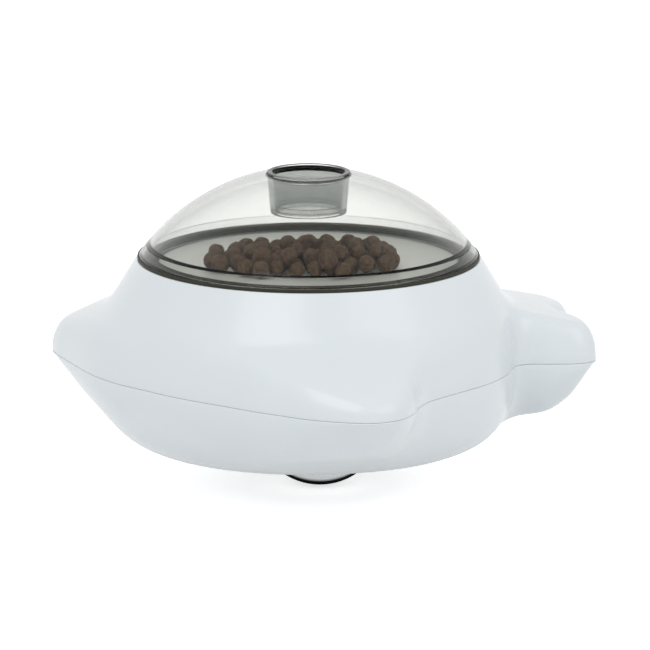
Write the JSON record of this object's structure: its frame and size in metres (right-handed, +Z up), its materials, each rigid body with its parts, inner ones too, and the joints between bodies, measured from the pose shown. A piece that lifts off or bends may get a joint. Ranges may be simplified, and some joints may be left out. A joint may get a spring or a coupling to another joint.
{
  "type": "treat launcher",
  "caption": "Lobed pet toy on a roller ball: pushing it down lifts a sprung tray under a smoked dome and throws the treats out of the tube in its top.",
  "frame": {"origin": "centre of the bounding box in plan, at the lowest point of the roller ball", "axes": "+Z up through the dome, +X towards the two-lobed tail, -X towards the nose, -Y towards the large fin"},
  "size_m": [0.2494, 0.2422, 0.1457],
  "materials": {
    "shell": "white moulded plastic with an even gloss",
    "smoked": "clear smoked plastic, polished",
    "rubber": "near-black rubber, satin",
    "tray": "white moulded plastic, satin",
    "polished_steel": "mirror polished steel",
    "steel": "bright zinc-plated steel",
    "grey_plastic": "light grey bearing plastic, fine matt texture",
    "treat": "rough baked crumb"
  },
  "bodies": {
    "housing": {"upper_shell": "shell", "lower_shell": "shell", "dome_gasket": "rubber", "guide_barrel": "grey_plastic", "guide_cap": "grey_plastic", "return_spring": "steel", "shell_screw_1": "steel", "shell_screw_2": "steel", "shell_screw_3": "steel", "shell_screw_4": "steel", "cap_screw_1": "steel", "cap_screw_2": "steel", "cap_screw_3": "steel", "barrel_screw_1": "steel", "barrel_screw_2": "steel", "barrel_screw_3": "steel"},
    "lid": {"dome": "smoked", "dome_ring": "smoked", "filler_tube": "smoked", "tube_end_ring": "smoked"},
    "plunger": {"ball_cup": "grey_plastic", "retainer_ring": "grey_plastic", "push_rod": "steel", "launch_tray": "tray", "tray_screw": "steel", "treats": "treat"},
    "cage": {"bearing_cage": "grey_plastic", "bearing_ball_1": "polished_steel", "bearing_ball_2": "polished_steel", "bearing_ball_3": "polished_steel", "bearing_ball_4": "polished_steel", "bearing_ball_5": "polished_steel", "bearing_ball_6": "polished_steel", "bearing_ball_7": "polished_steel", "bearing_ball_8": "polished_steel"},
    "ball": {"roller_ball": "polished_steel"}
  },
  "joints": [
    {"name": "dome_lift", "type": "slide", "parent": "housing", "child": "lid", "axis": [0, 0, 1], "range_m": [0, 0.06]},
    {"name": "plunger_stroke", "type": "slide", "parent": "housing", "child": "plunger", "axis": [0, 0, 1], "range_m": [0, 0.006], "stiffness_N_per_m": 2000, "springref_m": -0.012, "deforming": ["return_spring"]},
    {"name": "cage_spin", "type": "hinge", "parent": "plunger", "child": "cage", "pos_m": [-0.00187, 0.00718, 0.03002], "axis": [0, 0, 1], "continuous": true},
    {"name": "ball_roll", "type": "hinge", "parent": "cage", "child": "ball", "pos_m": [-0.00187, 0.00718, 0.03002], "axis": [1, 0, 0], "continuous": true}
  ]
}
